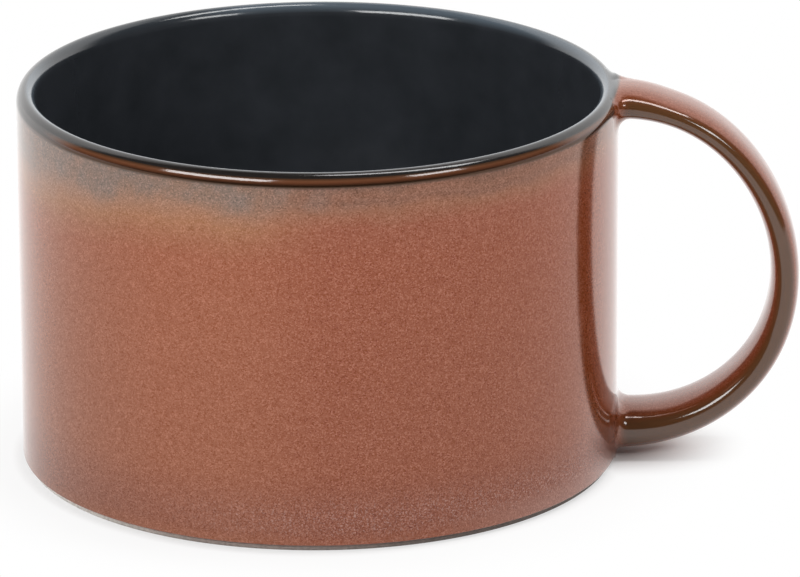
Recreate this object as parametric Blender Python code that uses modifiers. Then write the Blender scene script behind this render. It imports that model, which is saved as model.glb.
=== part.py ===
"""Stoneware coffee cup with a strap handle, as the pieces that a potter joins and glazes.

A turned clay body stands on its foot ring at z = 0. A clay strap bent into a loop is stuck to its
+X side with two beds of slip. Dark glaze lines the inside and the lip, and rust glaze coats the
outside wall, the handle and the recess under the foot. The origin is the middle of the cup's
footprint on the table, handle included.
"""

import math

import bmesh
import bpy
from mathutils import Vector

# Cup, in metres, its diameter and height measured over the glaze
CUP_DIAMETER = 0.0810
CUP_HEIGHT = 0.0520
CLAY_WALL = 0.0016
CLAY_FLOOR = 0.0034
WELL_CORNER_RADIUS = 0.0050

# Foot ring, left bare of glaze
FOOT_RING_WIDTH = 0.0040
FOOT_EDGE_CHAMFER = 0.0005
FOOT_RECESS_DEPTH = 0.0014
FOOT_RECESS_DRAFT = math.radians(45.0)
BARE_FOOT_HEIGHT = 0.0009

# Glaze coats, and the clearance between two layers that are fused on a fired cup
GLAZE_THICKNESS = 0.00035
FUSE_GAP = 0.00015
LIP_SEAM_ANGLE = math.radians(60.0)

# Handle, measured over the glaze
HANDLE_REACH = 0.02455
HANDLE_WIDTH = 0.0107
HANDLE_TOP_THICKNESS = 0.0037
HANDLE_LOW_THICKNESS = 0.0061
HANDLE_THICKENING = 3.5
HANDLE_BELOW_LIP = 0.0005
HANDLE_ABOVE_TABLE = 0.0010
HANDLE_STUB = 0.0012
HANDLE_DROOP = 0.0014
HANDLE_FLARE_LENGTH = 0.0016
HANDLE_SQUARENESS = 2.4
SLIP_THICKNESS = 0.0003

# How finely round shapes are divided
TURN_STEPS = 64
CORNER_STEPS = 5
LIP_STEPS = 8
SEAM_STEPS = 4
LOOP_STEPS = 28
STUB_STEPS = 3
SECTION_POINTS = 20

# How far cutters, and pieces that are cut to the wall, reach past the cut
CUT_MARGIN = 0.0050
MERGE_DISTANCE = 0.00001

# Sizes that follow from those above
CUP_RADIUS = CUP_DIAMETER / 2.0
COAT = FUSE_GAP + GLAZE_THICKNESS
CLAY_RADIUS = CUP_RADIUS - COAT
CLAY_INNER_RADIUS = CLAY_RADIUS - CLAY_WALL
WELL_FLOOR_Z = FOOT_RECESS_DEPTH + CLAY_FLOOR
LIP_CENTRE_RADIUS = CLAY_RADIUS - CLAY_WALL / 2.0
LIP_CENTRE_Z = CUP_HEIGHT - COAT - CLAY_WALL / 2.0
SEAM_HALF_ANGLE = FUSE_GAP / (CLAY_WALL + 2.0 * FUSE_GAP)
FOOT_OUTER_RADIUS = CLAY_RADIUS - FOOT_EDGE_CHAMFER
FOOT_INNER_RADIUS = FOOT_OUTER_RADIUS - FOOT_RING_WIDTH
UPPER_ARM_Z = CUP_HEIGHT - HANDLE_BELOW_LIP - HANDLE_TOP_THICKNESS / 2.0
LOWER_ARM_Z = HANDLE_ABOVE_TABLE + HANDLE_LOW_THICKNESS / 2.0
LOOP_CENTRE_X = CUP_RADIUS + HANDLE_STUB
LOOP_CENTRE_Z = (UPPER_ARM_Z + LOWER_ARM_Z) / 2.0
LOOP_HALF_HEIGHT = (UPPER_ARM_Z - LOWER_ARM_Z) / 2.0
HANDLE_MID_THICKNESS = (
    HANDLE_TOP_THICKNESS + (HANDLE_LOW_THICKNESS - HANDLE_TOP_THICKNESS) * 0.5**HANDLE_THICKENING
)
LOOP_HALF_REACH = HANDLE_REACH - HANDLE_STUB - HANDLE_MID_THICKNESS / 2.0
SLIP_INNER_RADIUS = CLAY_RADIUS + FUSE_GAP
SLIP_OUTER_RADIUS = SLIP_INNER_RADIUS + SLIP_THICKNESS
CUP_AXIS_X = -HANDLE_REACH / 2.0


def new_collection(name):
    """A collection linked into the scene."""
    group = bpy.data.collections.new(name)
    bpy.context.scene.collection.children.link(group)
    return group


def new_material(name, colour, roughness):
    """Principled material of one colour; nothing on the cup is metal."""
    finish = bpy.data.materials.new(name)
    finish.use_nodes = True
    shader = finish.node_tree.nodes["Principled BSDF"]
    shader.inputs["Base Color"].default_value = (*colour, 1.0)
    shader.inputs["Roughness"].default_value = roughness
    shader.inputs["Metallic"].default_value = 0.0
    return finish


def add_piece(name, mesh, finish):
    """A piece of the cup, placed by the empty on the cup's axis."""
    mesh.materials.append(finish)
    piece = bpy.data.objects.new(name, mesh)
    cup_pieces.objects.link(piece)
    piece.parent = cup_axis
    return piece


def add_cutter(name, mesh):
    """A shape that only cuts other pieces, placed as they are."""
    cutter = bpy.data.objects.new(name, mesh)
    cutters.objects.link(cutter)
    cutter.parent = cup_axis
    cutter.hide_render = True
    cutter.display_type = "WIRE"
    return cutter


def boolean(piece, cutter, operation):
    """Cut a piece with a cutter, or keep what lies in both."""
    modifier = piece.modifiers.new(cutter.name, "BOOLEAN")
    modifier.operation = operation
    modifier.solver = "EXACT"
    modifier.object = cutter


def arc(centre_radius, centre_z, radius, start, end, steps):
    """Points of an arc in the turning plane, from one angle to another."""
    angles = [start + (end - start) * step / steps for step in range(steps + 1)]
    return [(centre_radius + radius * math.cos(a), centre_z + radius * math.sin(a)) for a in angles]


def profile_mesh(name, profile, is_ring):
    """The line that is turned: open where it ends on the axis, closed where it makes a ring."""
    points = [(radius, 0.0, z) for radius, z in profile]
    edges = [(i, i + 1) for i in range(len(points) - 1)]
    if is_ring:
        edges.append((len(points) - 1, 0))
    mesh = bpy.data.meshes.new(name)
    mesh.from_pydata(points, edges, [])
    return mesh


def turn(piece):
    """Turn a piece's profile round the cup's axis."""
    screw = piece.modifiers.new("turned", "SCREW")
    screw.axis = "Z"
    screw.angle = math.tau
    screw.steps = TURN_STEPS
    screw.render_steps = TURN_STEPS
    screw.use_merge_vertices = True
    screw.merge_threshold = MERGE_DISTANCE
    screw.use_smooth_shade = True


def turned_piece(name, profile, finish, is_ring=False):
    """A piece of the cup made by turning a profile."""
    piece = add_piece(name, profile_mesh(name, profile, is_ring), finish)
    turn(piece)
    return piece


def turned_cutter(name, profile, is_ring=False):
    """A cutter made by turning a profile."""
    cutter = add_cutter(name, profile_mesh(name, profile, is_ring))
    turn(cutter)
    return cutter


def inside_face(offset, lip_angle):
    """The well's floor, corner and wall and the lip down to an angle, at an offset from the clay."""
    corner_radius = CLAY_INNER_RADIUS - WELL_CORNER_RADIUS
    corner_z = WELL_FLOOR_Z + WELL_CORNER_RADIUS
    lip_radius = CLAY_WALL / 2.0 + offset
    corner = arc(corner_radius, corner_z, WELL_CORNER_RADIUS - offset, -math.pi / 2.0, 0.0, CORNER_STEPS)
    lip = arc(LIP_CENTRE_RADIUS, LIP_CENTRE_Z, lip_radius, math.pi, lip_angle, LIP_STEPS)
    return [(0.0, WELL_FLOOR_Z + offset)] + corner + lip


def outside_face(offset, lip_angle):
    """The lip from an angle outwards and the wall down to the bare foot, at an offset from the clay."""
    lip_radius = CLAY_WALL / 2.0 + offset
    lip = arc(LIP_CENTRE_RADIUS, LIP_CENTRE_Z, lip_radius, lip_angle, 0.0, SEAM_STEPS)
    return lip + [(CLAY_RADIUS + offset, BARE_FOOT_HEIGHT)]


def recess_radius(z):
    """Radius of the recess under the foot at a height above the table."""
    return FOOT_INNER_RADIUS - z * math.tan(FOOT_RECESS_DRAFT)


def make_body():
    """Clay wall, floor and foot ring in one turned piece."""
    foot = [
        (CLAY_RADIUS, FOOT_EDGE_CHAMFER),
        (FOOT_OUTER_RADIUS, 0.0),
        (FOOT_INNER_RADIUS, 0.0),
        (recess_radius(FOOT_RECESS_DEPTH), FOOT_RECESS_DEPTH),
        (0.0, FOOT_RECESS_DEPTH),
    ]
    turned_piece("stoneware_body", inside_face(0.0, 0.0) + foot, stoneware)


def make_liner_glaze(handle_room):
    """Dark coat over the well and the lip, trimmed clear of the handle's upper root."""
    lip_angle = LIP_SEAM_ANGLE + SEAM_HALF_ANGLE
    face = inside_face(COAT, lip_angle)
    back = inside_face(FUSE_GAP, lip_angle)
    coat = turned_piece("liner_glaze", face + back[::-1], dark_glaze)
    boolean(coat, handle_room, "DIFFERENCE")


def make_wall_glaze(handle_room):
    """Rust coat on the outside wall, with a hole where each end of the handle meets the clay."""
    lip_angle = LIP_SEAM_ANGLE - SEAM_HALF_ANGLE
    face = outside_face(COAT, lip_angle)
    back = outside_face(FUSE_GAP, lip_angle)
    coat = turned_piece("wall_glaze", face + back[::-1], rust_glaze, is_ring=True)
    boolean(coat, handle_room, "DIFFERENCE")


def make_base_glaze():
    """Rust coat on the ceiling of the recess under the foot."""
    top = FOOT_RECESS_DEPTH - FUSE_GAP
    bottom = FOOT_RECESS_DEPTH - COAT
    side_gap = FUSE_GAP / math.cos(FOOT_RECESS_DRAFT)
    rim = [(recess_radius(top) - side_gap, top), (recess_radius(bottom) - side_gap, bottom)]
    turned_piece("base_glaze", [(0.0, top)] + rim + [(0.0, bottom)], rust_glaze)


def loop_point(turn_angle):
    """Centre line of the loop, from the upper root at +90 degrees to the lower root at -90."""
    across = math.cos(turn_angle)
    x = LOOP_CENTRE_X + LOOP_HALF_REACH * across
    z = LOOP_CENTRE_Z + LOOP_HALF_HEIGHT * math.sin(turn_angle) - HANDLE_DROOP * across**2
    return Vector((x, 0.0, z))


def loop_outward(turn_angle):
    """Direction square to the centre line, away from the finger gap."""
    along_x = LOOP_HALF_REACH * math.sin(turn_angle)
    drop = LOOP_HALF_HEIGHT * math.cos(turn_angle) + HANDLE_DROOP * math.sin(2.0 * turn_angle)
    return Vector((drop, 0.0, along_x)).normalized()


def half_thickness(turn_angle):
    """Half the strap's thickness: thinnest at the upper root, ever fuller towards the lower one."""
    share = (0.5 - turn_angle / math.pi) ** HANDLE_THICKENING
    return (HANDLE_TOP_THICKNESS + (HANDLE_LOW_THICKNESS - HANDLE_TOP_THICKNESS) * share) / 2.0


def root_flare(distance):
    """How far a root has spread at a distance from the wall: a parabola that meets it at 45 degrees."""
    left = max(0.0, HANDLE_FLARE_LENGTH - max(0.0, distance))
    return left**2 / (2.0 * HANDLE_FLARE_LENGTH)


def strap_stations():
    """Turn angle and centre of each section: a stub out of the wall, the loop and a stub back in."""
    upper = math.pi / 2.0
    distances = [-CUT_MARGIN] + [HANDLE_STUB * step / STUB_STEPS for step in range(STUB_STEPS)]
    stubs = [Vector((CUP_RADIUS + distance, 0.0, 0.0)) for distance in distances]
    turns = [upper - math.pi * step / LOOP_STEPS for step in range(LOOP_STEPS + 1)]
    first = [(upper, stub + Vector((0.0, 0.0, UPPER_ARM_Z))) for stub in stubs]
    last = [(-upper, stub + Vector((0.0, 0.0, LOWER_ARM_Z))) for stub in stubs]
    return first + [(angle, loop_point(angle)) for angle in turns] + last[::-1]


def strap_section(turn_angle, centre, growth):
    """Rounded oblong across the strap, a superellipse. A root spreads to its sides and inwards only."""
    outward = loop_outward(turn_angle)
    flare = root_flare(centre.x - CUP_RADIUS)
    half_width = HANDLE_WIDTH / 2.0 + flare + growth
    half_depth = half_thickness(turn_angle) + flare / 2.0 + growth
    middle = centre - outward * (flare / 2.0)
    power = 2.0 / HANDLE_SQUARENESS
    points = []
    for step in range(SECTION_POINTS):
        angle = math.tau * step / SECTION_POINTS
        across = math.copysign(abs(math.cos(angle)) ** power, math.cos(angle))
        through = math.copysign(abs(math.sin(angle)) ** power, math.sin(angle))
        sideways = Vector((0.0, half_width * across, 0.0))
        points.append(middle + sideways + outward * (half_depth * through))
    return points


def strap_mesh(name, growth):
    """Solid strap lofted through the loop's sections, grown all round by a distance."""
    shape = bmesh.new()
    sections = [strap_section(angle, centre, growth) for angle, centre in strap_stations()]
    rings = [[shape.verts.new(point) for point in section] for section in sections]
    for ring, following in zip(rings, rings[1:]):
        for i in range(SECTION_POINTS):
            j = (i + 1) % SECTION_POINTS
            shape.faces.new((ring[i], ring[j], following[j], following[i]))
    shape.faces.new(rings[0])
    shape.faces.new(rings[-1])
    bmesh.ops.recalc_face_normals(shape, faces=shape.faces)
    mesh = bpy.data.meshes.new(name)
    shape.to_mesh(mesh)
    shape.free()
    mesh.shade_smooth()
    return mesh


def wall_plug(name, radius):
    """Cutter that shapes the ends of a strap to the curve of the wall."""
    top = CUP_HEIGHT + CUT_MARGIN
    bottom = -CUT_MARGIN
    return turned_cutter(name, [(0.0, top), (radius, top), (radius, bottom), (0.0, bottom)])


def make_slip_joint(name, bottom, top):
    """Bed of slip between one end of the handle and the clay wall, between two heights."""
    ring = [
        (SLIP_OUTER_RADIUS, top),
        (SLIP_OUTER_RADIUS, bottom),
        (SLIP_INNER_RADIUS, bottom),
        (SLIP_INNER_RADIUS, top),
    ]
    joint = add_piece(name, strap_mesh(name, -COAT), slip)
    boolean(joint, turned_cutter(name + "_ring", ring, is_ring=True), "INTERSECT")


def make_handle():
    """Clay strap, its ends stopped short of the wall by the beds of slip."""
    handle = add_piece("handle", strap_mesh("handle", -COAT), stoneware)
    boolean(handle, wall_plug("clay_wall_plug", SLIP_OUTER_RADIUS + FUSE_GAP), "DIFFERENCE")


def make_handle_room():
    """Cutter that clears the strap and its slip out of a coat, and ends halfway into the clay wall."""
    room = add_cutter("room_for_handle", strap_mesh("room_for_handle", -GLAZE_THICKNESS))
    boolean(room, wall_plug("half_wall_plug", LIP_CENTRE_RADIUS), "DIFFERENCE")
    return room


def make_handle_glaze(handle_room):
    """Rust coat round the strap, open at both ends, where it meets the wall's own coat."""
    coat = add_piece("handle_glaze", strap_mesh("handle_glaze", 0.0), rust_glaze)
    boolean(coat, wall_plug("glazed_wall_plug", CUP_RADIUS + FUSE_GAP), "DIFFERENCE")
    boolean(coat, handle_room, "DIFFERENCE")


for old in list(bpy.data.objects):
    bpy.data.objects.remove(old, do_unlink=True)

cup_pieces = new_collection("coffee_cup")
cutters = new_collection("cutters")

stoneware = new_material("stoneware", (0.25, 0.22, 0.18), 0.75)
slip = new_material("slip", (0.28, 0.24, 0.20), 0.80)
dark_glaze = new_material("dark_glaze", (0.014, 0.016, 0.020), 0.20)
rust_glaze = new_material("rust_glaze", (0.33, 0.11, 0.06), 0.22)

cup_axis = bpy.data.objects.new("cup_axis", None)
cup_axis.location = (CUP_AXIS_X, 0.0, 0.0)
cup_pieces.objects.link(cup_axis)

room_for_handle = make_handle_room()
make_body()
make_handle()
make_slip_joint("upper_slip_joint", LOOP_CENTRE_Z, CUP_HEIGHT + CUT_MARGIN)
make_slip_joint("lower_slip_joint", -CUT_MARGIN, LOOP_CENTRE_Z)
make_liner_glaze(room_for_handle)
make_wall_glaze(room_for_handle)
make_handle_glaze(room_for_handle)
make_base_glaze()
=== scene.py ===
"""Looks of a low stoneware coffee cup: its glazes, clay and strap handle, with floor, lamps and camera."""

import bpy
import numpy as np
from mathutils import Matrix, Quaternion, Vector


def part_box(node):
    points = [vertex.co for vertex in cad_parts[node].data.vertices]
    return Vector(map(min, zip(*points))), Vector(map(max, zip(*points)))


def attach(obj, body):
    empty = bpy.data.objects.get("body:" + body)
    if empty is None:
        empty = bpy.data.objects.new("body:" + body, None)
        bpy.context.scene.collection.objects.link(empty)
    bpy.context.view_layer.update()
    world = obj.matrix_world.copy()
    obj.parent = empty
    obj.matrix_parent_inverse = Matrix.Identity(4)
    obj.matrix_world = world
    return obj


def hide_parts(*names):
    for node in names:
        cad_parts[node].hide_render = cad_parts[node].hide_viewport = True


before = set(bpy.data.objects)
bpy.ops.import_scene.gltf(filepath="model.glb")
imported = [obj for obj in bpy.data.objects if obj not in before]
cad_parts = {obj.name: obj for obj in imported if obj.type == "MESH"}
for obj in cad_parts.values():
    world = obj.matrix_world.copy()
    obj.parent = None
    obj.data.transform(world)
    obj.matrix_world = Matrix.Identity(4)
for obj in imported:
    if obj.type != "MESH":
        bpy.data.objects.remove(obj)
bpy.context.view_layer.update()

# Sizes of the cup in metres, taken from the frame where a node gives them
wall_low, wall_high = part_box("wall_glaze")
liner_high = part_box("liner_glaze")[1]
handle_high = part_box("handle_glaze")[1]
CUP_RADIUS = (wall_high.y - wall_low.y) / 2.0
AXIS_X = wall_low.x + CUP_RADIUS
CUP_HEIGHT = liner_high.z
HANDLE_REACH = handle_high.x - AXIS_X - CUP_RADIUS

# Turned body, with a lip whose section is half an ellipse
LIP_HALF_WIDTH = 0.0013
LIP_RISE = 0.0018
LIP_CENTRE_R = CUP_RADIUS - LIP_HALF_WIDTH
LIP_CENTRE_Z = CUP_HEIGHT - LIP_RISE
WELL_RADIUS = CUP_RADIUS - 2.0 * LIP_HALF_WIDTH
WELL_FLOOR_Z = 0.0053
WELL_CORNER_RADIUS = 0.0045
GLAZE_THICKNESS = 0.00035
FUSE_GAP = 0.00015
CLAY_INSET = GLAZE_THICKNESS + FUSE_GAP
CLAY_RADIUS = CUP_RADIUS - CLAY_INSET
LIP_SEAM_DEGREES = 44.5
BARE_FOOT_HEIGHT = 0.0009
FOOT_EDGE_RADIUS = 0.0005
FOOT_RING_WIDTH = 0.0040
FOOT_OUTER_RADIUS = CLAY_RADIUS - FOOT_EDGE_RADIUS
FOOT_INNER_RADIUS = FOOT_OUTER_RADIUS - FOOT_RING_WIDTH
RECESS_DEPTH = 0.0014
RECESS_RADIUS = FOOT_INNER_RADIUS - RECESS_DEPTH

# Points round the axis and along the stretches of a turned profile
TURN_SEGMENTS = 360
WALL_STEPS = 80
WELL_STEPS = 40
BASE_STEPS = 30
CURVE_STEPS = 24
SHORT_STEPS = 12
ROLL_STEPS = 10
EDGE_STEPS = 8

# Points of a profile closer than this are one, and edges that turn by more than the crease stay sharp
SAME_POINT = 1e-7
CREASE_DEGREES = 35.0

# Strap handle: a half ellipse that droops in the middle, seen from the side
HANDLE_STUB = 0.0012
HANDLE_HALF_WIDTH = 0.00535
HANDLE_TOP_HALF_THICKNESS = 0.00185
HANDLE_LOW_HALF_THICKNESS = 0.00305
HANDLE_THICKENING = 3.5
HANDLE_BELOW_LIP = 0.0005
HANDLE_ABOVE_TABLE = 0.0010
HANDLE_DROOP = 0.0014
HANDLE_FLARE_LENGTH = 0.0016
HANDLE_SQUARENESS = 2.4
HANDLE_THICKER_BY = HANDLE_LOW_HALF_THICKNESS - HANDLE_TOP_HALF_THICKNESS
HANDLE_MID_HALF_THICKNESS = HANDLE_TOP_HALF_THICKNESS + HANDLE_THICKER_BY * 0.5**HANDLE_THICKENING
UPPER_ARM_Z = CUP_HEIGHT - HANDLE_BELOW_LIP - HANDLE_TOP_HALF_THICKNESS
LOWER_ARM_Z = HANDLE_ABOVE_TABLE + HANDLE_LOW_HALF_THICKNESS
LOOP_X = CUP_RADIUS + HANDLE_STUB
LOOP_HALF_REACH = HANDLE_REACH - HANDLE_STUB - HANDLE_MID_HALF_THICKNESS
LOOP_Z = (UPPER_ARM_Z + LOWER_ARM_Z) / 2.0
LOOP_HALF_HEIGHT = (UPPER_ARM_Z - LOWER_ARM_Z) / 2.0
HANDLE_ROOT_RISE = 0.00062
HANDLE_RISE_LENGTH = 0.0078
HANDLE_RISE_FULL = 0.0005
ROOT_SINK = 0.0013
ROOT_OFF_TABLE = 0.0002
ROOT_FILLET_INNER = 0.0018
ROOT_FILLET_OUTER = 0.00135
ROOT_FILLET_BACK = 0.0036
ROOT_FILLET_LOW = 0.0027
ROOT_TUCK = 0.000004
ROOT_BEND_FADE = 0.0080
LOOP_STEPS = 160
ROOT_STEPS = 60
SECTION_POINTS = 96
HALVINGS = 30

# Where the glaze on the strap changes, in metres: distances off the wall, and depths below the lip
EDGE_FULL_OFF_WALL = 0.0020
LINER_GONE_OFF_WALL = 0.0002
LINER_FULL_OFF_WALL = -0.0006
LINER_GONE_DEPTH = 0.0020
LINER_FULL_DEPTH = 0.0010
STRAP_STARTS_OFF_WALL = 0.0001
STRAP_FULL_OFF_WALL = 0.0008
SHOULDER_GONE_DEPTH = 0.0040
SHOULDER_FULL_DEPTH = 0.0020
SHOULDER_SHIFT = 0.0005
BACKWARD_SHIFT = 0.0004

# Sizes of the patterns in glaze and clay, in metres
COAT_CLOUD = 0.009
ASH_CLOUD = 0.004
MOTTLE = 0.006
FROST_SPECK = 0.00022
COLOUR_SPECK = 0.00015
GLOSS_SPECK = 0.0002
PIN_SPECK = 0.0005
GROG_GRAIN = 0.0005
MM_PER_METRE = 1000.0

# Share of the thick rust coat that mirrors as iron crystals do
CRYSTAL_SHARE = 0.35

# The floor lies a hair under the foot, so that the two faces don't share one plane
FLOOR_DROP = 0.00003
FLOOR_HALF_SIZE = 3.0

# Distance of the lamps from the cup
SOFTBOX_DISTANCE = 0.6

# Photograph's frame and the place it was taken from
PHOTO_WIDTH = 800
PHOTO_HEIGHT = 577
CUP_CENTRE_PIXEL = (318.96, 266.97)
CAMERA_DISTANCE = 1.0
CAMERA_ELEVATION = np.radians(18.42)
CAMERA_SWING = np.radians(-1.4)
CAMERA_ROLL = np.radians(-0.225)
CAMERA_LENS_MM = 332.1
SENSOR_WIDTH_MM = 36.0


def linear(hex_colour):
    """Linear RGBA of an sRGB colour written as rrggbb."""
    srgb = np.array([int(hex_colour[place:place + 2], 16) for place in (0, 2, 4)]) / 255.0
    bent = np.where(srgb <= 0.04045, srgb / 12.92, ((srgb + 0.055) / 1.055) ** 2.4)
    return (*bent, 1.0)


def smoothstep(low, high, value):
    """0 below low, 1 above high, and 3 s^2 - 2 s^3 of the share s between them."""
    share = np.clip((value - low) / (high - low), 0.0, 1.0)
    return share * share * (3.0 - 2.0 * share)


# Meshes

def straight(start, end, steps):
    """Points of a profile at even steps from start to end, both (radius, height)."""
    share = np.linspace(0.0, 1.0, steps)[:, None]
    return (1.0 - share) * np.array(start) + share * np.array(end)


def arc(centre_r, centre_z, radius, start_degrees, end_degrees, steps):
    """Points of a profile on a circle, with the angle measured up from the outward direction."""
    angle = np.radians(np.linspace(start_degrees, end_degrees, steps))
    return np.column_stack([centre_r + radius * np.cos(angle), centre_z + radius * np.sin(angle)])


def lip_arc(inset, start_degrees, end_degrees, steps):
    """Points of a profile on the lip's ellipse, r = centre + half width cos a and z = centre + rise sin a,
    moved into the clay by inset."""
    angle = np.radians(np.linspace(start_degrees, end_degrees, steps))
    r = LIP_CENTRE_R + (LIP_HALF_WIDTH - inset) * np.cos(angle)
    z = LIP_CENTRE_Z + (LIP_RISE - inset) * np.sin(angle)
    return np.column_stack([r, z])


def profile_of(*stretches):
    """One profile from stretches that follow each other, without the points that two of them share."""
    points = np.concatenate(stretches)
    step = np.linalg.norm(np.diff(points, axis=0), axis=1)
    return points[np.concatenate([[True], step > SAME_POINT])]


def grid_faces(rows, columns, wrap_columns):
    """Quads between neighbours on a grid that wraps over its rows, and over its columns if asked."""
    corner = np.arange(rows * columns).reshape(rows, columns)
    beside = np.roll(corner, -1, axis=1)
    quads = np.stack([corner, np.roll(corner, -1, axis=0), np.roll(beside, -1, axis=0), beside], axis=-1)
    if not wrap_columns:
        quads = quads[:, :-1]
    return quads.reshape(-1, 4)


def finished_piece(name, points, faces, material, replaced_node, slot):
    """Smooth mesh object with sharp creases kept, riding on the cup and standing for one CAD node."""
    mesh = bpy.data.meshes.new(name)
    mesh.from_pydata(points.tolist(), [], faces)
    mesh.shade_smooth()
    mesh.set_sharp_from_angle(angle=np.radians(CREASE_DEGREES))
    mesh.materials.append(material)
    piece = bpy.data.objects.new(name, mesh)
    bpy.context.scene.collection.objects.link(piece)
    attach(piece, "root")
    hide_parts(replaced_node)
    return piece


def turned(profile):
    """Points of a profile turned about the cup's axis: x = axis + r cos a, y = r sin a, z = height.
    The first index runs round the axis and the second along the profile."""
    angle = np.linspace(0.0, 2.0 * np.pi, TURN_SEGMENTS, endpoint=False)
    x = AXIS_X + np.outer(np.cos(angle), profile[:, 0])
    y = np.outer(np.sin(angle), profile[:, 0])
    z = np.broadcast_to(profile[:, 1], x.shape)
    return np.stack([x, y, z], axis=-1)


def turned_ring(name, profile, *finish):
    """Ring whose closed profile stays off the axis."""
    points = turned(profile)
    faces = grid_faces(*points.shape[:2], wrap_columns=True)
    finished_piece(name, points.reshape(-1, 3), faces.tolist(), *finish)


def turned_solid(name, profile, *finish):
    """Solid whose profile starts and ends on the axis, where one point closes all segments."""
    points = turned(profile[1:-1])
    rows, columns = points.shape[:2]
    faces = grid_faces(rows, columns, wrap_columns=False).tolist()
    first_pole, last_pole = rows * columns, rows * columns + 1
    start = np.arange(rows) * columns
    after = np.roll(start, -1)
    end = start + columns - 1
    after_end = after + columns - 1
    faces += np.column_stack([np.full(rows, first_pole), after, start]).tolist()
    faces += np.column_stack([np.full(rows, last_pole), end, after_end]).tolist()
    poles = [[AXIS_X, 0.0, profile[0, 1]], [AXIS_X, 0.0, profile[-1, 1]]]
    points = np.concatenate([points.reshape(-1, 3), poles])
    finished_piece(name, points, faces, *finish)


def inside_profile(inset):
    """Well from the middle of its floor to the crest of the lip, moved into the clay by inset."""
    corner_r = WELL_RADIUS - WELL_CORNER_RADIUS
    corner_z = WELL_FLOOR_Z + WELL_CORNER_RADIUS
    return profile_of(
        straight((0.0, WELL_FLOOR_Z - inset), (corner_r, WELL_FLOOR_Z - inset), WELL_STEPS),
        arc(corner_r, corner_z, WELL_CORNER_RADIUS + inset, -90.0, 0.0, CURVE_STEPS),
        straight((WELL_RADIUS + inset, corner_z), (WELL_RADIUS + inset, LIP_CENTRE_Z), WELL_STEPS),
        lip_arc(inset, 180.0, 90.0, CURVE_STEPS),
    )


def outside_profile(inset, top_degrees, low_z):
    """Outside from an angle on the lip down to a height on the wall, moved into the clay by inset."""
    radius = CUP_RADIUS - inset
    return profile_of(
        lip_arc(inset, top_degrees, 0.0, CURVE_STEPS),
        straight((radius, LIP_CENTRE_Z), (radius, low_z), WALL_STEPS),
    )


def make_clay_body(material):
    """Turned clay: well, lip, wall, rounded foot ring and the recess inside it."""
    profile = profile_of(
        inside_profile(CLAY_INSET),
        outside_profile(CLAY_INSET, 90.0, FOOT_EDGE_RADIUS),
        arc(FOOT_OUTER_RADIUS, FOOT_EDGE_RADIUS, FOOT_EDGE_RADIUS, 0.0, -90.0, EDGE_STEPS),
        straight((FOOT_OUTER_RADIUS, 0.0), (FOOT_INNER_RADIUS, 0.0), SHORT_STEPS),
        straight((FOOT_INNER_RADIUS, 0.0), (RECESS_RADIUS, RECESS_DEPTH), EDGE_STEPS),
        straight((RECESS_RADIUS, RECESS_DEPTH), (0.0, RECESS_DEPTH), SHORT_STEPS),
    )
    turned_solid("clay_body", profile, material, "stoneware_body", "stoneware")


def make_wall_coat(material):
    """Glaze outside, from the seam on the lip to a rolled edge above the bare foot."""
    roll = GLAZE_THICKNESS / 2.0
    roll_z = BARE_FOOT_HEIGHT + roll
    outer = outside_profile(0.0, LIP_SEAM_DEGREES, roll_z)
    inner = outside_profile(GLAZE_THICKNESS, LIP_SEAM_DEGREES, roll_z)
    edge = arc(CUP_RADIUS - roll, roll_z, roll, 0.0, -180.0, ROLL_STEPS)
    profile = profile_of(outer, edge, inner[::-1])
    turned_ring("wall_coat", profile, material, "wall_glaze", "rust_glaze")


def make_liner_coat(material):
    """Glaze in the well and over the crest of the lip, down to the seam with the glaze outside."""
    over = lip_arc(0.0, 90.0, LIP_SEAM_DEGREES, SHORT_STEPS)
    under = lip_arc(GLAZE_THICKNESS, LIP_SEAM_DEGREES, 90.0, SHORT_STEPS)
    profile = profile_of(inside_profile(0.0), over, under, inside_profile(GLAZE_THICKNESS)[::-1])
    turned_solid("liner_coat", profile, material, "liner_glaze", "dark_glaze")


def make_base_coat(material):
    """Pool of glaze in the recess under the foot, thin at its edge."""
    top_z = RECESS_DEPTH - FUSE_GAP
    low_z = top_z - GLAZE_THICKNESS
    edge_r = RECESS_RADIUS - FUSE_GAP
    profile = profile_of(
        straight((0.0, top_z), (edge_r, top_z), BASE_STEPS),
        arc(edge_r - GLAZE_THICKNESS, top_z, GLAZE_THICKNESS, 0.0, -90.0, EDGE_STEPS),
        straight((edge_r - GLAZE_THICKNESS, low_z), (0.0, low_z), BASE_STEPS),
    )
    turned_solid("base_coat", profile, material, "base_glaze", "rust_glaze")


def handle_line():
    """Centre line of the strap from inside the wall at the top, round the loop and back in at the bottom.
    Loop: x = loop centre + reach cos t, z = loop centre + height sin t - droop cos^2 t, t from 90 to -90
    degrees. The stubs run straight into the wall. Gives t, x, z and the unit normal that points off the
    loop."""
    stub = np.linspace(-ROOT_SINK, HANDLE_STUB, ROOT_STEPS, endpoint=False) + CUP_RADIUS
    loop_turn = np.linspace(np.pi / 2.0, -np.pi / 2.0, LOOP_STEPS + 1)
    turn = np.concatenate([np.full(ROOT_STEPS, np.pi / 2.0), loop_turn, np.full(ROOT_STEPS, -np.pi / 2.0)])
    loop_x = LOOP_X + LOOP_HALF_REACH * np.cos(loop_turn)
    loop_z = LOOP_Z + LOOP_HALF_HEIGHT * np.sin(loop_turn) - HANDLE_DROOP * np.cos(loop_turn) ** 2
    x = np.concatenate([stub, loop_x, stub[::-1]])
    z = np.concatenate([np.full(ROOT_STEPS, UPPER_ARM_Z), loop_z, np.full(ROOT_STEPS, LOWER_ARM_Z)])
    along_x = LOOP_HALF_REACH * np.sin(turn)
    along_z = -(LOOP_HALF_HEIGHT * np.cos(turn) + HANDLE_DROOP * np.sin(2.0 * turn))
    length = np.hypot(along_x, along_z)
    return turn, x, z, -along_z / length, along_x / length


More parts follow.
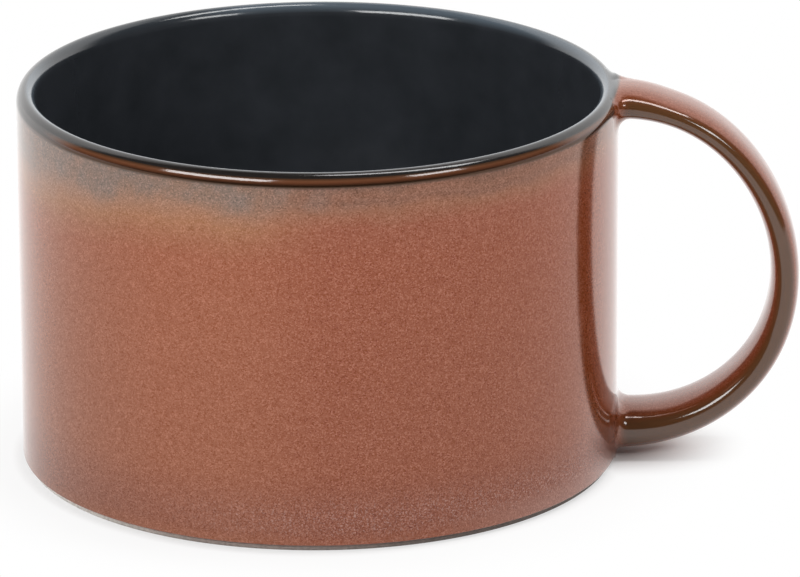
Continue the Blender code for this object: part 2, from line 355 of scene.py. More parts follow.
def cup_distance(x, y, z):
    """Distance outside the glazed wall, and outside its lip with heights shrunk until the lip is round, for
    points given from the cup's axis."""
    r = np.hypot(x, y)
    rise = np.maximum(z - LIP_CENTRE_Z, 0.0) * LIP_HALF_WIDTH / LIP_RISE
    return np.hypot(r - LIP_CENTRE_R, rise) - LIP_HALF_WIDTH


def zero_crossing(low, high, level):
    """Radius between low and high where level turns positive, by halving the stretch again and again."""
    for _ in range(HALVINGS):
        middle = (low + high) / 2.0
        outside = level(middle) > 0.0
        low = np.where(outside, low, middle)
        high = np.where(outside, middle, high)
    return high


def handle_surface():
    """Strap with a fillet where it grows out of the wall, as a grid of stations by points round a section.
    The section is a superellipse that flares by (L - d)^2 / 2L at a distance d under L from the wall. Its
    thickness grows with a power of the share of the turn done, from the upper root to the lower one, and
    its top rises smoothly towards the lip at the upper root. Along each ray from its middle the surface
    lies where the smooth minimum of the distances to strap and wall is zero: min(a, b) - h^3 k / 6 with
    h = max(k - |a - b|, 0) / k. Inside the wall it passes over to the surface of lip and wall, just under
    it. Near the wall the sections are bent to the wall's curve. Gives outer and inner points, t, and how
    far each point faces sideways, from 0 to 1."""
    turn, line_x, line_z, normal_x, normal_z = (part[:, None] for part in handle_line())
    ray = np.linspace(0.0, 2.0 * np.pi, SECTION_POINTS, endpoint=False)[None, :]
    across, outward = np.cos(ray), np.sin(ray)

    flare = np.clip(HANDLE_FLARE_LENGTH + CUP_RADIUS - line_x, 0.0, HANDLE_FLARE_LENGTH) ** 2
    flare = flare / (2.0 * HANDLE_FLARE_LENGTH)
    from_wall = line_x - CUP_RADIUS
    rise = HANDLE_ROOT_RISE * smoothstep(HANDLE_RISE_LENGTH, HANDLE_RISE_FULL, from_wall) * (turn > 0.0)
    line_x = line_x + normal_x * (rise - flare) / 2.0
    line_z = line_z + normal_z * (rise - flare) / 2.0
    thickening = HANDLE_THICKER_BY * (0.5 - turn / np.pi) ** HANDLE_THICKENING
    half_thickness = HANDLE_TOP_HALF_THICKNESS + thickening + (rise + flare) / 2.0
    half_width = HANDLE_HALF_WIDTH + flare
    power = HANDLE_SQUARENESS
    sum_of_powers = np.abs(across / half_width) ** power + np.abs(outward / half_thickness) ** power
    strap_radius = sum_of_powers ** (-1.0 / power)
    slope_across = np.sign(across) * np.abs(across) ** (power - 1.0) / half_width**power
    slope_outward = np.sign(outward) * np.abs(outward) ** (power - 1.0) / half_thickness**power
    slope = np.hypot(slope_across, slope_outward)
    facing = (across * slope_across + outward * slope_outward) / slope

    # One fillet passes over to the next by the ray's direction, across the strap and off the loop
    at_outside = smoothstep(-0.2, 0.7, outward)
    blend = ROOT_FILLET_INNER + (ROOT_FILLET_OUTER - ROOT_FILLET_INNER) * at_outside
    at_back = smoothstep(0.6, 0.95, across) * (turn > 0.0)
    blend = blend + (ROOT_FILLET_BACK - blend) * at_back
    at_low_sides = smoothstep(0.6, 0.9, np.abs(across)) * smoothstep(0.5, 0.1, outward) * (turn < 0.0)
    blend = blend + (ROOT_FILLET_LOW - blend) * at_low_sides
    bend = 1.0 - smoothstep(HANDLE_STUB, ROOT_BEND_FADE, line_x - CUP_RADIUS)

    def place(radius):
        """Points at a radius along the rays. Bent fully to the wall, x becomes the root of x^2 - y^2."""
        y = radius * across
        x = line_x + radius * outward * normal_x
        z = line_z + radius * outward * normal_z
        return x - bend * (x - np.sqrt(x**2 - y**2)), y, z

    def off_wall(radius):
        """Distance of those points outside the cup, counted from a hair inside its surface."""
        return cup_distance(*place(radius)) + ROOT_TUCK

    def off_strap_and_wall(radius):
        """Smooth minimum of the distances to strap and wall."""
        strap_distance = (radius - strap_radius) * facing
        wall_distance = off_wall(radius)
        overlap = np.maximum(blend - np.abs(strap_distance - wall_distance), 0.0) / blend
        return np.minimum(strap_distance, wall_distance) - overlap**3 * blend / 6.0

    limit = strap_radius + blend / facing
    outer_radius = zero_crossing(strap_radius, limit, off_strap_and_wall)
    wall_radius = zero_crossing(np.zeros_like(limit), limit, off_wall)
    outer_radius = outer_radius + smoothstep(0.0, -ROOT_SINK, from_wall) * (wall_radius - outer_radius)

    outer = np.stack(place(outer_radius), axis=-1)
    outer[..., 2] = np.maximum(outer[..., 2], ROOT_OFF_TABLE)
    inner = np.stack(place(strap_radius - GLAZE_THICKNESS / facing), axis=-1)
    side = np.abs(slope_across / slope)
    return outer, inner, np.broadcast_to(turn, side.shape), side


def make_handle_coat(material):
    """Glaze round the strap. Its edge attribute is 1 on the strap's narrow sides, where glaze runs thin, its
    liner attribute is 1 where the dark glaze of the lip runs onto the top of the root, and its strap
    attribute is 1 off the wall, where the coat has its own colour and not the wall's."""
    outer, inner, turn, side = handle_surface()
    stations, section = side.shape
    points = np.concatenate([outer, inner[::-1]])
    faces = grid_faces(2 * stations, section, wrap_columns=True)
    off_wall = np.hypot(outer[..., 0], outer[..., 1]) - CUP_RADIUS
    points[..., 0] += AXIS_X
    piece = finished_piece("handle_coat", points.reshape(-1, 3), faces.tolist(), material,
                           "handle_glaze", "rust_glaze")
    height = outer[..., 2]
    at_upper_root = turn > 0.0
    edge = smoothstep(0.35, 0.85, side) * smoothstep(0.0, EDGE_FULL_OFF_WALL, off_wall)
    near_lip = smoothstep(CUP_HEIGHT - LINER_GONE_DEPTH, CUP_HEIGHT - LINER_FULL_DEPTH, height)
    towards_back = BACKWARD_SHIFT * outer[..., 1] / HANDLE_HALF_WIDTH
    liner = smoothstep(LINER_GONE_OFF_WALL, LINER_FULL_OFF_WALL, off_wall - towards_back)
    liner = liner * near_lip * at_upper_root
    by_shoulder = smoothstep(CUP_HEIGHT - SHOULDER_GONE_DEPTH, CUP_HEIGHT - SHOULDER_FULL_DEPTH, height)
    shift = by_shoulder * at_upper_root * (SHOULDER_SHIFT - towards_back)
    strap = smoothstep(STRAP_STARTS_OFF_WALL, STRAP_FULL_OFF_WALL, off_wall + shift)
    for name, values in (("edge", edge), ("liner", liner), ("strap", strap)):
        attribute = piece.data.attributes.new(name, "FLOAT", "POINT")
        both = np.concatenate([values, np.zeros_like(values)])
        attribute.data.foreach_set("value", both.astype(np.float32).ravel())


# Materials

def add(tree, kind, inputs, **settings):
    """Node of a kind with its settings; each input is linked if it is another node's socket, else set."""
    made = tree.nodes.new(kind)
    for name, value in settings.items():
        setattr(made, name, value)
    for name, value in inputs.items():
        if isinstance(value, bpy.types.NodeSocket):
            tree.links.new(value, made.inputs[name])
        else:
            made.inputs[name].default_value = value
    return made


def set_ramp(ramp, stops):
    """Colour stops of a ramp, each a position and an sRGB colour."""
    while len(ramp.elements) < len(stops):
        ramp.elements.new(0.5)
    for element, (position, hex_colour) in zip(ramp.elements, stops):
        element.position = position
        element.color = linear(hex_colour)


def new_material(name):
    """Empty node material with its output."""
    material = bpy.data.materials.new(name)
    material.use_nodes = True
    material.node_tree.nodes.clear()
    return material, material.node_tree, material.node_tree.nodes.new("ShaderNodeOutputMaterial")


def band_colour(tree, centred, across, depth):
    """Colour of the sprayed coat by depth below the lip: a grey-tan ash band, then orange-tan, then rust that
    slowly deepens. Clouds in the coat make the band uneven, and it runs out sooner towards the handle."""
    # Clouds shift the band by up to 2 mm up or down, and at the far left it reaches 2 mm lower
    clouds = add(tree, "ShaderNodeTexNoise", {"Vector": centred, "Scale": 1.0 / COAT_CLOUD, "Detail": 3.0})
    cloud_shift = add(tree, "ShaderNodeMath", {0: clouds.outputs["Fac"], 1: 4.0, 2: -2.0},
                      operation="MULTIPLY_ADD").outputs[0]
    band_depth = add(tree, "ShaderNodeMath", {0: depth, 1: cloud_shift}, operation="ADD").outputs[0]
    far_left = add(tree, "ShaderNodeMapRange",
                   {"Value": across, "From Min": -0.5 * CUP_RADIUS, "From Max": -0.85 * CUP_RADIUS})
    far_left = far_left.outputs["Result"]
    band_depth = add(tree, "ShaderNodeMath", {0: far_left, 1: -2.0, 2: band_depth},
                     operation="MULTIPLY_ADD").outputs[0]
    share = add(tree, "ShaderNodeMapRange", {"Value": band_depth, "From Min": 0.0, "From Max": 12.0})
    share = share.outputs["Result"]

    # A broad band on the side away from the handle and a narrow one on the handle's side
    broad = add(tree, "ShaderNodeValToRGB", {"Fac": share})
    set_ramp(broad.color_ramp, ((0.2, "6a5142"), (0.33, "6e5343"), (0.46, "7a5641"), (0.62, "7e5236"),
                                (0.79, "7b492f"), (1.0, "7a432a")))
    narrow = add(tree, "ShaderNodeValToRGB", {"Fac": share})
    set_ramp(narrow.color_ramp, ((0.17, "5f3e2d"), (0.25, "694330"), (0.33, "674230"), (0.42, "734730"),
                                 (0.5, "74432c"), (0.62, "743d26"), (1.0, "743b22")))
    to_handle = add(tree, "ShaderNodeMapRange",
                    {"Value": across, "From Min": -0.3 * CUP_RADIUS, "From Max": 0.1 * CUP_RADIUS},
                    interpolation_type="SMOOTHSTEP").outputs["Result"]
    band = add(tree, "ShaderNodeMix",
               {"Factor": to_handle, "A": broad.outputs["Color"], "B": narrow.outputs["Color"]},
               data_type="RGBA").outputs["Result"]

    # The rust below it deepens downwards, and is a little bluer at the far left
    deep = add(tree, "ShaderNodeMapRange", {"Value": depth, "From Min": 14.0, "From Max": 46.0})
    rust = add(tree, "ShaderNodeMix",
               {"Factor": deep.outputs["Result"], "A": band, "B": (0.93, 0.99, 1.03, 1.0)},
               data_type="RGBA", blend_type="MULTIPLY").outputs["Result"]
    rust = add(tree, "ShaderNodeMix", {"Factor": far_left, "A": rust, "B": (0.9, 0.99, 1.1, 1.0)},
               data_type="RGBA", blend_type="MULTIPLY").outputs["Result"]

    # Darker towards the foot, but less so in the last millimetre
    foot = add(tree, "ShaderNodeMapRange", {"Value": depth, "From Min": 41.0, "From Max": 47.0})
    foot_rim = add(tree, "ShaderNodeMapRange",
                   {"Value": depth, "From Min": 49.2, "From Max": 50.6, "To Max": 0.7})
    foot = add(tree, "ShaderNodeMath", {0: foot.outputs["Result"], 1: foot_rim.outputs["Result"]},
               operation="SUBTRACT")
    rust = add(tree, "ShaderNodeMix", {"Factor": foot.outputs[0], "A": rust, "B": (0.87, 0.83, 0.86, 1.0)},
               data_type="RGBA", blend_type="MULTIPLY").outputs["Result"]

    # Blue-grey clouds of ash, on the side away from the handle
    ash_noise = add(tree, "ShaderNodeTexNoise", {"Vector": centred, "Scale": 1.0 / ASH_CLOUD, "Detail": 4.0})
    ash_cloud = add(tree, "ShaderNodeMapRange",
                    {"Value": ash_noise.outputs["Fac"], "From Min": 0.4, "From Max": 0.62})
    ash_low = add(tree, "ShaderNodeMapRange", {"Value": band_depth, "From Min": 6.0, "From Max": 3.5})
    ash_left = add(tree, "ShaderNodeMapRange",
                   {"Value": across, "From Min": 0.3 * CUP_RADIUS, "From Max": -0.2 * CUP_RADIUS,
                    "To Max": 0.7})
    ash = add(tree, "ShaderNodeMath", {0: ash_cloud.outputs["Result"], 1: ash_low.outputs["Result"]},
              operation="MULTIPLY")
    ash = add(tree, "ShaderNodeMath", {0: ash.outputs[0], 1: ash_left.outputs["Result"]},
              operation="MULTIPLY")
    return add(tree, "ShaderNodeMix", {"Factor": ash.outputs[0], "A": rust, "B": linear("60534c")},
               data_type="RGBA").outputs["Result"]


def frosted(tree, centred, across, depth, body):
    """The coat with a frost of pale specks above the bare foot, thin on the side away from the handle and in
    the last millimetre. On the handle's side it runs together to a pale veil close to the foot."""
    noise = add(tree, "ShaderNodeTexNoise", {"Vector": centred, "Scale": 1.0 / FROST_SPECK, "Detail": 1.0})
    specks = add(tree, "ShaderNodeMapRange",
                 {"Value": noise.outputs["Fac"], "From Min": 0.53, "From Max": 0.72})
    near = add(tree, "ShaderNodeMapRange", {"Value": depth, "From Min": 43.0, "From Max": 47.0})
    plain_rim = add(tree, "ShaderNodeMapRange",
                    {"Value": depth, "From Min": 50.2, "From Max": 48.8, "To Min": 0.3})
    side = add(tree, "ShaderNodeMapRange",
               {"Value": across, "From Min": -0.65 * CUP_RADIUS, "From Max": 0.1 * CUP_RADIUS,
                "To Min": 0.1, "To Max": 0.48}, interpolation_type="SMOOTHSTEP")
    frost = add(tree, "ShaderNodeMath", {0: specks.outputs["Result"], 1: near.outputs["Result"]},
                operation="MULTIPLY")
    frost = add(tree, "ShaderNodeMath", {0: frost.outputs[0], 1: plain_rim.outputs["Result"]},
                operation="MULTIPLY")
    frost = add(tree, "ShaderNodeMath", {0: frost.outputs[0], 1: side.outputs["Result"]},
                operation="MULTIPLY")
    by_rim = add(tree, "ShaderNodeMapRange", {"Value": depth, "From Min": 47.5, "From Max": 50.0})
    by_handle = add(tree, "ShaderNodeMapRange",
                    {"Value": across, "From Min": 0.4 * CUP_RADIUS, "From Max": 0.75 * CUP_RADIUS,
                     "To Max": 0.24})
    veil = add(tree, "ShaderNodeMath", {0: by_rim.outputs["Result"], 1: by_handle.outputs["Result"]},
               operation="MULTIPLY")
    frost = add(tree, "ShaderNodeMath", {0: frost.outputs[0], 1: veil.outputs[0]}, operation="MAXIMUM")
    return add(tree, "ShaderNodeMix", {"Factor": frost.outputs[0], "A": body, "B": linear("998079")},
               data_type="RGBA").outputs["Result"]


def rust_glaze():
    """Glossy iron-red stoneware glaze, sprayed and fired. Fine iron crystals in it tint what it mirrors, so
    part of its gloss is rust-coloured. Where it runs thin over an edge it is plain dark brown. Its colours go
    by the depth below the lip in millimetres."""
    material, tree, output = new_material("rust_stoneware_glaze")
    object_place = add(tree, "ShaderNodeTexCoord", {}).outputs["Object"]
    centred = add(tree, "ShaderNodeMapping", {"Vector": object_place, "Location": (-AXIS_X, 0.0, 0.0)})
    centred = centred.outputs["Vector"]
    axes = add(tree, "ShaderNodeSeparateXYZ", {"Vector": centred}).outputs
    depth = add(tree, "ShaderNodeMapRange",
                {"Value": axes["Z"], "From Min": CUP_HEIGHT, "From Max": 0.0, "To Min": 0.0,
                 "To Max": CUP_HEIGHT * MM_PER_METRE}).outputs["Result"]
    body = band_colour(tree, centred, axes["X"], depth)
    body = frosted(tree, centred, axes["X"], depth, body)

    # The strap has the plain rust all round
    on_strap = add(tree, "ShaderNodeAttribute", {}, attribute_name="strap").outputs["Fac"]
    body = add(tree, "ShaderNodeMix", {"Factor": on_strap, "A": body, "B": linear("763d24")},
               data_type="RGBA").outputs["Result"]

    # Thin over the lip's shoulder, which is darkest at both its borders, and over the strap's narrow sides
    edge = add(tree, "ShaderNodeAttribute", {}, attribute_name="edge").outputs["Fac"]
    on_shoulder = add(tree, "ShaderNodeMapRange", {"Value": depth, "From Min": 2.0, "From Max": 1.65})
    on_wall = add(tree, "ShaderNodeMath", {0: 1.0, 1: on_strap}, operation="SUBTRACT").outputs[0]
    shoulder = add(tree, "ShaderNodeMath", {0: on_shoulder.outputs["Result"], 1: on_wall},
                   operation="MULTIPLY").outputs[0]
    shoulder_share = add(tree, "ShaderNodeMapRange", {"Value": depth, "From Min": 0.0, "From Max": 2.0})
    brown = add(tree, "ShaderNodeValToRGB", {"Fac": shoulder_share.outputs["Result"]})
    set_ramp(brown.color_ramp, ((0.26, "2f2217"), (0.43, "68412b"), (0.54, "5e3723"), (0.7, "2c1a10"),
                                (0.82, "24180e")))

    # Painted reflection: at the far left the shoulder is one plain grey-brown, the sheen of the white
    # surroundings painted into its colour
    far_left = add(tree, "ShaderNodeMapRange",
                   {"Value": axes["X"], "From Min": -0.80 * CUP_RADIUS, "From Max": -0.89 * CUP_RADIUS})
    brown = add(tree, "ShaderNodeMix",
                {"Factor": far_left.outputs["Result"], "A": brown.outputs["Color"], "B": linear("38322f")},
                data_type="RGBA").outputs["Result"]
    body = add(tree, "ShaderNodeMix", {"Factor": shoulder, "A": body, "B": brown},
               data_type="RGBA").outputs["Result"]
    body = add(tree, "ShaderNodeMix", {"Factor": edge, "A": body, "B": linear("5a3a22")},
               data_type="RGBA").outputs["Result"]

    # The lip's dark glaze runs onto the top of the upper root
    liner = add(tree, "ShaderNodeAttribute", {}, attribute_name="liner").outputs["Fac"]
    body = add(tree, "ShaderNodeMix", {"Factor": liner, "A": body, "B": linear("2a2d31")},
               data_type="RGBA").outputs["Result"]

    # Iron crystals, in the thick coat and along the shoulder's lower border; the base colour makes up for the
    # share of it that they take
    thin = add(tree, "ShaderNodeMath", {0: edge, 1: shoulder}, operation="MAXIMUM")
    thin = add(tree, "ShaderNodeMath", {0: thin.outputs[0], 1: liner}, operation="MAXIMUM")
    thin = add(tree, "ShaderNodeMath", {0: on_strap, 1: 0.3, 2: thin.outputs[0]}, operation="MULTIPLY_ADD",
               use_clamp=True)
    thick = add(tree, "ShaderNodeMath", {0: 1.0, 1: thin.outputs[0]}, operation="SUBTRACT").outputs[0]
    crystals = add(tree, "ShaderNodeMath", {0: thick, 1: CRYSTAL_SHARE}, operation="MULTIPLY")
    border = add(tree, "ShaderNodeMapRange",
                 {"Value": depth, "From Min": 1.15, "From Max": 1.5, "To Max": 0.7})
    border = add(tree, "ShaderNodeMath", {0: border.outputs["Result"], 1: shoulder}, operation="MULTIPLY")
    crystals = add(tree, "ShaderNodeMath", {0: crystals.outputs[0], 1: border.outputs[0]},
                   operation="MAXIMUM").outputs[0]
    clear = add(tree, "ShaderNodeMath", {0: 1.0, 1: crystals}, operation="SUBTRACT")
    gain = add(tree, "ShaderNodeMath", {0: 1.0, 1: clear.outputs[0]}, operation="DIVIDE")
    body = add(tree, "ShaderNodeVectorMath", {0: body, "Scale": gain.outputs[0]}, operation="SCALE")

    # Pale and dark specks about a sixth of a millimetre across in the thick coat, most of them faint
    cells = add(tree, "ShaderNodeTexVoronoi", {"Vector": centred, "Scale": 1.0 / COLOUR_SPECK})
    cells = add(tree, "ShaderNodeSeparateColor", {"Color": cells.outputs["Color"]}).outputs["Red"]
    shade = add(tree, "ShaderNodeMapRange", {"Value": cells, "To Min": -0.8, "To Max": 1.0}).outputs["Result"]
    strength = add(tree, "ShaderNodeMath", {0: shade}, operation="ABSOLUTE")
    speckle = add(tree, "ShaderNodeMath", {0: shade, 1: strength.outputs[0]}, operation="MULTIPLY")
    speckle = add(tree, "ShaderNodeMath", {0: speckle.outputs[0], 1: 0.86, 2: -0.03},
                  operation="MULTIPLY_ADD")
    speckle = add(tree, "ShaderNodeMath", {0: speckle.outputs[0], 1: thick}, operation="MULTIPLY")
    body = add(tree, "ShaderNodeVectorMath",
               {0: (0.145, 0.082, 0.065), 1: speckle.outputs[0], 2: body.outputs["Vector"]},
               operation="MULTIPLY_ADD")

    # A fine grain in its gloss
    specks = add(tree, "ShaderNodeTexNoise", {"Vector": centred, "Scale": 1.0 / GLOSS_SPECK, "Detail": 1.0})
    specks = specks.outputs["Fac"]
    bump = add(tree, "ShaderNodeBump", {"Height": specks, "Strength": 0.1, "Distance": 0.00004})
    roughness = add(tree, "ShaderNodeMapRange", {"Value": specks, "To Min": 0.06, "To Max": 0.14})
    shader = add(tree, "ShaderNodeBsdfPrincipled",
                 {"Base Color": body.outputs["Vector"], "Metallic": crystals, "IOR": 1.6,
                  "Roughness": roughness.outputs["Result"], "Normal": bump.outputs["Normal"]})
    tree.links.new(shader.outputs["BSDF"], output.inputs["Surface"])
    return material


def dark_glaze():
    """Glossy blue-black cobalt and iron glaze: nearly black, with faint paler mottling and a gloss that is
    uneven in pin-size specks. Over the lip it thins, to slate blue on the inner side and to near black on the
    outer side. At the back left the inner side carries painted shade."""
    material, tree, output = new_material("blue_black_stoneware_glaze")
    place = add(tree, "ShaderNodeTexCoord", {}).outputs["Object"]
    mottle = add(tree, "ShaderNodeTexNoise", {"Vector": place, "Scale": 1.0 / MOTTLE, "Detail": 4.0})
    colour = add(tree, "ShaderNodeValToRGB", {"Fac": mottle.outputs["Fac"]})
    set_ramp(colour.color_ramp, ((0.3, "2e3135"), (0.7, "373a3f")))
    height = add(tree, "ShaderNodeSeparateXYZ", {"Vector": place}).outputs["Z"]
    from_axis = add(tree, "ShaderNodeVectorMath", {0: place, 1: (AXIS_X, 0.0, 0.0)}, operation="SUBTRACT")
    flat = add(tree, "ShaderNodeVectorMath", {0: from_axis.outputs["Vector"], 1: (1.0, 1.0, 0.0)},
               operation="MULTIPLY").outputs["Vector"]
    from_axis = add(tree, "ShaderNodeVectorMath", {0: flat}, operation="LENGTH")
    outer_side = add(tree, "ShaderNodeMapRange",
                     {"Value": from_axis.outputs["Value"], "From Min": LIP_CENTRE_R - 0.0003,
                      "From Max": LIP_CENTRE_R + 0.0002}).outputs["Result"]
    near_crest = add(tree, "ShaderNodeMapRange",
                     {"Value": height, "From Min": CUP_HEIGHT - 0.0012, "From Max": CUP_HEIGHT - 0.0004})
    near_crest = near_crest.outputs["Result"]

    # Painted shade: the lip's inner side is darker at the back left, where less light reaches it
    back_left_shade = add(tree, "ShaderNodeVectorMath", {0: flat, 1: (-0.77, 0.64, 0.0)}, operation="DOT_PRODUCT")
    back_left_shade = add(tree, "ShaderNodeMapRange",
                    {"Value": back_left_shade.outputs["Value"], "From Min": 0.82 * LIP_CENTRE_R,
                     "From Max": 0.92 * LIP_CENTRE_R})
    inner_colour = add(tree, "ShaderNodeMix",
                       {"Factor": back_left_shade.outputs["Result"], "A": linear("57616a"), "B": linear("33383d")},
                       data_type="RGBA").outputs["Result"]
    lip_colour = add(tree, "ShaderNodeMix", {"Factor": outer_side, "A": inner_colour, "B": linear("211d1b")},
                     data_type="RGBA").outputs["Result"]
    colour = add(tree, "ShaderNodeMix",
                 {"Factor": near_crest, "A": colour.outputs["Color"], "B": lip_colour},
                 data_type="RGBA").outputs["Result"]
    specks = add(tree, "ShaderNodeTexNoise", {"Vector": place, "Scale": 1.0 / PIN_SPECK, "Detail": 2.0})
    specks = specks.outputs["Fac"]
    roughness = add(tree, "ShaderNodeMapRange", {"Value": specks, "To Min": 0.08, "To Max": 0.2})
    bump = add(tree, "ShaderNodeBump", {"Height": specks, "Strength": 0.1, "Distance": 0.00004})
    shader = add(tree, "ShaderNodeBsdfPrincipled",
                 {"Base Color": colour, "Roughness": roughness.outputs["Result"], "IOR": 1.55,
                  "Normal": bump.outputs["Normal"]})
    tree.links.new(shader.outputs["BSDF"], output.inputs["Surface"])
    return material


def bare_clay(name, stops):
    """Fired clay without glaze: dry and sandy, with grains of grog about half a millimetre across. The stops
    are its colours from the side away from the handle to the handle's side: pale on the far side is a painted
    reflection of the white table, and dark on the handle's side is painted shade."""
    material, tree, output = new_material(name)
    place = add(tree, "ShaderNodeTexCoord", {}).outputs["Object"]
    across = add(tree, "ShaderNodeSeparateXYZ", {"Vector": place}).outputs["X"]
    share = add(tree, "ShaderNodeMapRange",
                {"Value": across, "From Min": AXIS_X - CUP_RADIUS, "From Max": AXIS_X + CUP_RADIUS})
    # Painted light across the clay: painted reflection of the table on the far side, painted shade on the
    # handle's side
    fired = add(tree, "ShaderNodeValToRGB", {"Fac": share.outputs["Result"]})
    set_ramp(fired.color_ramp, stops)
    grains = add(tree, "ShaderNodeTexNoise", {"Vector": place, "Scale": 1.0 / GROG_GRAIN, "Detail": 4.0})
    grains = grains.outputs["Fac"]
    grain = add(tree, "ShaderNodeMapRange",
                {"Value": grains, "From Min": 0.3, "From Max": 0.7, "To Min": 0.8, "To Max": 1.15})
    colour = add(tree, "ShaderNodeVectorMath", {0: fired.outputs["Color"], "Scale": grain.outputs["Result"]},
                 operation="SCALE")
    bump = add(tree, "ShaderNodeBump", {"Height": grains, "Strength": 0.4, "Distance": 0.00015})
    shader = add(tree, "ShaderNodeBsdfPrincipled",
                 {"Base Color": colour.outputs["Vector"], "Roughness": 0.85, "IOR": 1.5,
                  "Normal": bump.outputs["Normal"]})
    tree.links.new(shader.outputs["BSDF"], output.inputs["Surface"])
    return material


# Stage

def make_floor():
    """White table top. Seen or mirrored it glows by itself, except near the cup and most of all under the
    handle's lower root, where it is only lit and keeps the shadow."""
    size = FLOOR_HALF_SIZE
    low = -FLOOR_DROP
    corners = [(-size, -size, low), (size, -size, low), (size, size, low), (-size, size, low)]
    mesh = bpy.data.meshes.new("floor")
    mesh.from_pydata(corners, [], [(0, 1, 2, 3)])
    floor = bpy.data.objects.new("floor", mesh)
    bpy.context.scene.collection.objects.link(floor)
    material, tree, output = new_material("white_table")
    place = add(tree, "ShaderNodeTexCoord", {}).outputs["Object"]

    # Shade under the lower root, round the cup and close to its foot, by distances in metres
    root_place = (AXIS_X + CUP_RADIUS, 0.002, 0.0)
    from_root = add(tree, "ShaderNodeVectorMath", {0: place, 1: root_place}, operation="SUBTRACT")
    from_root = add(tree, "ShaderNodeVectorMath", {0: from_root.outputs["Vector"], 1: (0.85, 1.0, 0.0)},
                    operation="MULTIPLY")
    to_root = add(tree, "ShaderNodeVectorMath", {0: from_root.outputs["Vector"]}, operation="LENGTH")
    to_axis = add(tree, "ShaderNodeVectorMath", {0: place, 1: (AXIS_X, 0.0, 0.0)}, operation="DISTANCE")
    by_root = add(tree, "ShaderNodeMapRange",
                  {"Value": to_root.outputs["Value"], "From Min": 0.016, "From Max": 0.004},
                  interpolation_type="SMOOTHSTEP").outputs["Result"]
    by_cup = add(tree, "ShaderNodeMapRange",
                 {"Value": to_axis.outputs["Value"], "From Min": 0.056, "From Max": 0.042, "To Max": 0.12},
                 interpolation_type="SMOOTHSTEP").outputs["Result"]
    by_foot = add(tree, "ShaderNodeMapRange",
                  {"Value": to_axis.outputs["Value"], "From Min": 0.0432, "From Max": 0.0400, "To Max": 0.4},
                  interpolation_type="SMOOTHSTEP").outputs["Result"]
    shaded = add(tree, "ShaderNodeMath", {0: by_root, 1: by_cup}, operation="MAXIMUM").outputs[0]
    shaded = add(tree, "ShaderNodeMath", {0: shaded, 1: by_foot}, operation="MAXIMUM").outputs[0]
    glowing = add(tree, "ShaderNodeMath", {0: 1.0, 1: shaded}, operation="SUBTRACT").outputs[0]
    path = add(tree, "ShaderNodeLightPath", {}).outputs
    seen = add(tree, "ShaderNodeMath", {0: path["Is Camera Ray"], 1: path["Is Glossy Ray"]},
               operation="MAXIMUM")
    share = add(tree, "ShaderNodeMath", {0: seen.outputs[0], 1: glowing}, operation="MULTIPLY").outputs[0]

    # Mirrored in the glaze, the table is a little brighter behind the cup and ends some way before it
    backward = add(tree, "ShaderNodeSeparateXYZ", {"Vector": place}).outputs["Y"]
    lit_back = add(tree, "ShaderNodeMapRange",
                   {"Value": backward, "From Min": -0.06, "From Max": 0.04, "To Min": 1.2, "To Max": 1.3})
    front_end = add(tree, "ShaderNodeMapRange", {"Value": backward, "From Min": -0.45, "From Max": -0.22})
    mirrored = add(tree, "ShaderNodeMath", {0: lit_back.outputs["Result"], 1: front_end.outputs["Result"]},
                   operation="MULTIPLY")
    strength = add(tree, "ShaderNodeMix",
                   {"Factor": path["Is Glossy Ray"], "A": 1.0, "B": mirrored.outputs[0]})
    lit = add(tree, "ShaderNodeBsdfDiffuse", {"Color": linear("f4f4f4")}).outputs["BSDF"]
    glow = add(tree, "ShaderNodeEmission", {"Strength": strength.outputs["Result"]}).outputs["Emission"]
    mixed = add(tree, "ShaderNodeMixShader", {0: share, 1: lit, 2: glow})
    tree.links.new(mixed.outputs["Shader"], output.inputs["Surface"])
    mesh.materials.append(material)


def make_world():
    """Studio room: white behind the cup, dim before it and overhead, and white wherever the camera looks past
    the floor."""
    world = bpy.data.worlds.new("studio")
    bpy.context.scene.world = world
    world.use_nodes = True
    tree = world.node_tree
    tree.nodes.clear()
    direction = add(tree, "ShaderNodeTexCoord", {}).outputs["Generated"]
    level = add(tree, "ShaderNodeVectorMath", {0: direction, 1: (1.0, 1.0, 0.0)}, operation="MULTIPLY")
    level = add(tree, "ShaderNodeVectorMath", {0: level.outputs["Vector"]}, operation="NORMALIZE")
    backward = add(tree, "ShaderNodeSeparateXYZ", {"Vector": level.outputs["Vector"]}).outputs["Y"]
    upward = add(tree, "ShaderNodeSeparateXYZ", {"Vector": direction}).outputs["Z"]
    behind = add(tree, "ShaderNodeMapRange", {"Value": backward, "From Min": 0.2, "From Max": 0.45})
    low = add(tree, "ShaderNodeMapRange", {"Value": upward, "From Min": 0.92, "From Max": 0.78})
    paper = add(tree, "ShaderNodeMath", {0: behind.outputs["Result"], 1: low.outputs["Result"]},
                operation="MULTIPLY")
    room = add(tree, "ShaderNodeMapRange", {"Value": paper.outputs[0], "To Min": 0.05, "To Max": 1.85})
    camera = add(tree, "ShaderNodeLightPath", {}).outputs["Is Camera Ray"]
    strength = add(tree, "ShaderNodeMix", {"Factor": camera, "A": room.outputs["Result"], "B": 1.0})
    light = add(tree, "ShaderNodeBackground", {"Strength": strength.outputs["Result"]})
    output = add(tree, "ShaderNodeOutputWorld", {"Surface": light.outputs["Background"]})
    output.is_active_output = True


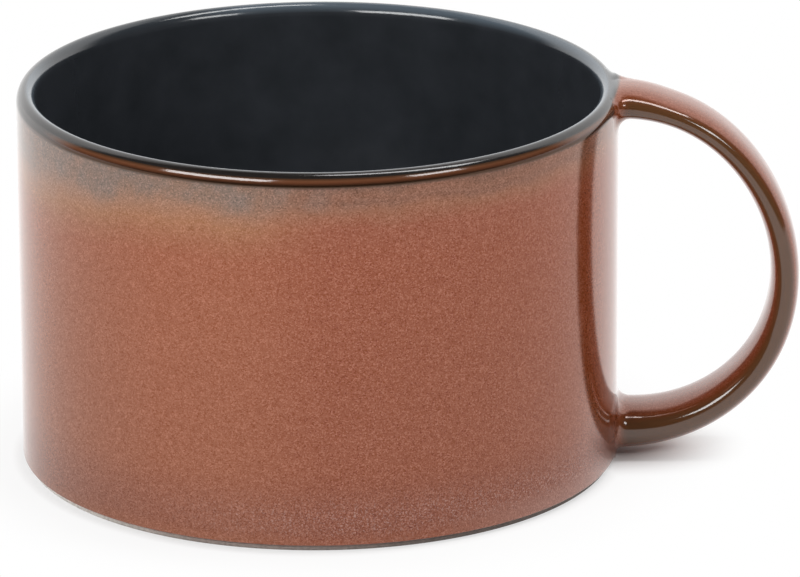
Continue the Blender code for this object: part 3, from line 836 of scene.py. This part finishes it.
def make_softbox(name, swing_degrees, elevation_degrees, width, height, watts):
    """Soft lamp turned to the cup. It stands before the cup, swung round it to the photograph's right and
    raised, both in degrees."""
    lamp = bpy.data.lights.new(name, "AREA")
    lamp.shape = "RECTANGLE"
    lamp.size = width
    lamp.size_y = height
    lamp.energy = watts
    swing, elevation = np.radians(swing_degrees), np.radians(elevation_degrees)
    away = Vector((np.sin(swing) * np.cos(elevation), -np.cos(swing) * np.cos(elevation), np.sin(elevation)))
    softbox = bpy.data.objects.new(name, lamp)
    softbox.location = Vector((AXIS_X, 0.0, CUP_HEIGHT / 2.0)) + SOFTBOX_DISTANCE * away
    softbox.rotation_euler = away.to_track_quat("Z", "Y").to_euler()
    bpy.context.scene.collection.objects.link(softbox)


def make_camera():
    """Camera at the photograph's angle, turned so that the cup's middle falls on its pixel."""
    camera = bpy.data.cameras.new("camera")
    camera.lens = CAMERA_LENS_MM
    camera.sensor_fit = "HORIZONTAL"
    camera.sensor_width = SENSOR_WIDTH_MM
    away = Vector((-np.sin(CAMERA_SWING) * np.cos(CAMERA_ELEVATION),
                   -np.cos(CAMERA_SWING) * np.cos(CAMERA_ELEVATION), np.sin(CAMERA_ELEVATION)))
    right = Vector((np.cos(CAMERA_SWING), -np.sin(CAMERA_SWING), 0.0))
    up = away.cross(right)
    metres_per_pixel = CAMERA_DISTANCE * SENSOR_WIDTH_MM / CAMERA_LENS_MM / PHOTO_WIDTH
    cup_centre = Vector((AXIS_X, 0.0, CUP_HEIGHT / 2.0))
    to_right = (PHOTO_WIDTH / 2.0 - CUP_CENTRE_PIXEL[0]) * metres_per_pixel
    to_top = (CUP_CENTRE_PIXEL[1] - PHOTO_HEIGHT / 2.0) * metres_per_pixel
    place = cup_centre + CAMERA_DISTANCE * away
    aim = cup_centre + to_right * right + to_top * up
    holder = bpy.data.objects.new("camera", camera)
    holder.location = place
    level = (aim - place).to_track_quat("-Z", "Y")
    holder.rotation_euler = (level @ Quaternion((0.0, 0.0, 1.0), CAMERA_ROLL)).to_euler()
    bpy.context.scene.collection.objects.link(holder)
    bpy.context.scene.camera = holder


rust = rust_glaze()
dark = dark_glaze()
# Both clays run pale to dark towards the handle: painted reflection of the table away from it, painted shade
# beside it
clay = bare_clay("bare_stoneware", ((0.03, "e6e2dd"), (0.14, "cdc7c0"), (0.3, "9e918a"), (0.5, "938781"),
                                    (0.7, "6f655f")))
slip = bare_clay("fired_slip", ((0.0, "94806f"), (1.0, "7d6a5c")))

make_clay_body(clay)
make_wall_coat(rust)
make_liner_coat(dark)
make_base_coat(rust)
make_handle_coat(rust)
for node_name, node_material in (("handle", clay), ("upper_slip_joint", slip), ("lower_slip_joint", slip)):
    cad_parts[node_name].data.materials.clear()
    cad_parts[node_name].data.materials.append(node_material)

make_floor()
make_world()
make_softbox("left_softbox", swing_degrees=-37.6, elevation_degrees=28.9, width=0.40, height=0.15, watts=2.0)
make_softbox("right_softbox", swing_degrees=47.8, elevation_degrees=31.6, width=0.19, height=0.11, watts=0.65)
make_softbox("top_softbox", swing_degrees=85.0, elevation_degrees=72.0, width=0.12, height=0.38, watts=1.5)
make_camera()
bpy.context.scene.view_settings.view_transform = "Standard"
